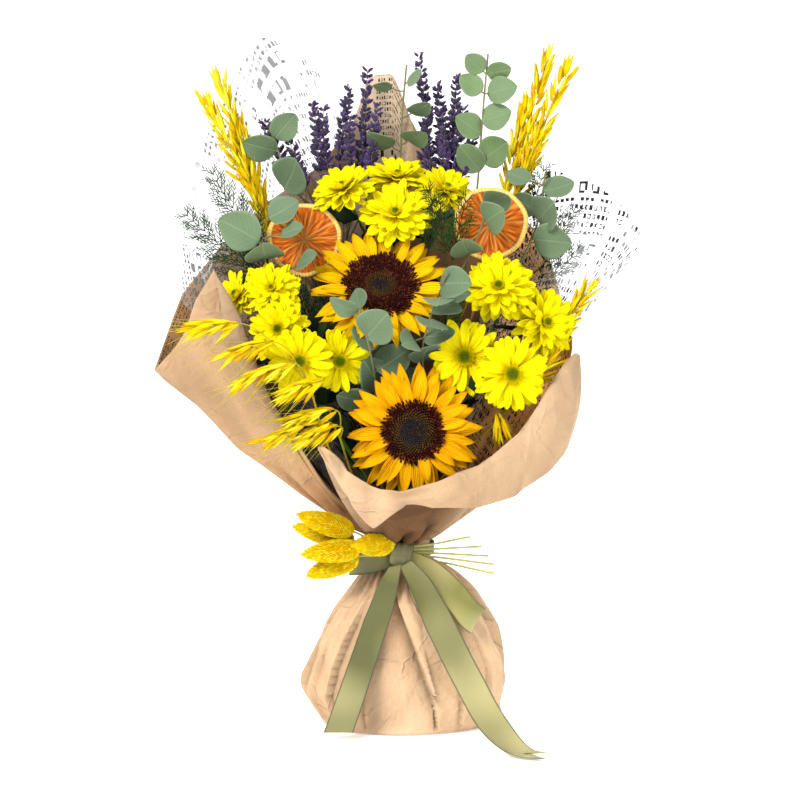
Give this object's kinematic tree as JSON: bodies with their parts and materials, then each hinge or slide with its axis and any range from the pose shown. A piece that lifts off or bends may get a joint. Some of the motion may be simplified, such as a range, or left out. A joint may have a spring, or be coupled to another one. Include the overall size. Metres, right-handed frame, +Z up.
{
  "type": "bunch of sunflowers",
  "caption": "Hand-tied bouquet of sunflowers, spray chrysanthemums, eucalyptus, lavender, oats and orange slices in kraft paper and film, tied with a ribbon; stands on its gathered foot.",
  "frame": {"origin": "centre of the flat underside of the paper foot, on the surface the bouquet stands on", "axes": "+Z up, along the stems; -Y the front, the side the flowers face; +X to the right as seen from the front"},
  "size_m": [0.4443, 0.2112, 0.6221],
  "materials": {
    "kraft_paper": "matte",
    "printed_film": "gloss",
    "satin_ribbon": "satin",
    "string": "matte",
    "sunflower_petal": "matte",
    "sunflower_disc": "matte",
    "green_stem": "matte",
    "chrysanthemum_petal": "matte",
    "eucalyptus_leaf": "matte",
    "dried_lavender": "matte",
    "dyed_oat": "matte",
    "tree_fern": "matte",
    "dried_orange": "matte",
    "wood_pick": "matte",
    "dyed_phalaris": "matte"
  },
  "bodies": {
    "root": {"binding_string": "string", "eucalyptus_centre_left": "eucalyptus_leaf", "eucalyptus_centre_right": "eucalyptus_leaf", "eucalyptus_left": "eucalyptus_leaf", "eucalyptus_over_orange": "eucalyptus_leaf", "eucalyptus_right": "eucalyptus_leaf", "eucalyptus_top_centre": "eucalyptus_leaf", "eucalyptus_top_right": "eucalyptus_leaf", "eucalyptus_upper_left": "eucalyptus_leaf", "fern_centre": "tree_fern", "fern_left": "tree_fern", "fern_right": "tree_fern", "film_left": "printed_film", "film_right": "printed_film", "lavender_left": "dried_lavender", "lavender_right": "dried_lavender", "mum_left_1": "chrysanthemum_petal", "mum_left_2": "chrysanthemum_petal", "mum_left_3": "chrysanthemum_petal", "mum_left_4": "chrysanthemum_petal", "mum_left_5": "chrysanthemum_petal", "mum_right_1": "chrysanthemum_petal", "mum_right_2": "chrysanthemum_petal", "mum_right_3": "chrysanthemum_petal", "mum_right_4": "chrysanthemum_petal", "mum_stem_left": "green_stem", "mum_stem_right": "green_stem", "mum_stem_top": "green_stem", "mum_top_1": "chrysanthemum_petal", "mum_top_2": "chrysanthemum_petal", "mum_top_3": "chrysanthemum_petal", "mum_top_4": "chrysanthemum_petal", "oats_right": "dyed_oat", "oats_spill_lower": "dyed_oat", "oats_spill_upper": "dyed_oat", "oats_top_left": "dyed_oat", "oats_top_right": "dyed_oat", "orange_pick_left": "wood_pick", "orange_pick_right": "wood_pick", "orange_slice_left": "dried_orange", "orange_slice_right": "dried_orange", "phalaris_1": "dyed_phalaris", "phalaris_2": "dyed_phalaris", "phalaris_3": "dyed_phalaris", "phalaris_4": "dyed_phalaris", "phalaris_5": "dyed_phalaris", "ribbon_band": "satin_ribbon", "ribbon_bow": "satin_ribbon", "ribbon_tail_left": "satin_ribbon", "ribbon_tail_right": "satin_ribbon", "sunflower_lower_disc": "sunflower_disc", "sunflower_lower_petals": "sunflower_petal", "sunflower_lower_stem": "green_stem", "sunflower_upper_disc": "sunflower_disc", "sunflower_upper_petals": "sunflower_petal", "sunflower_upper_stem": "green_stem", "wrap_back": "kraft_paper", "wrap_foot": "kraft_paper", "wrap_front": "kraft_paper"}
  },
  "joints": []
}
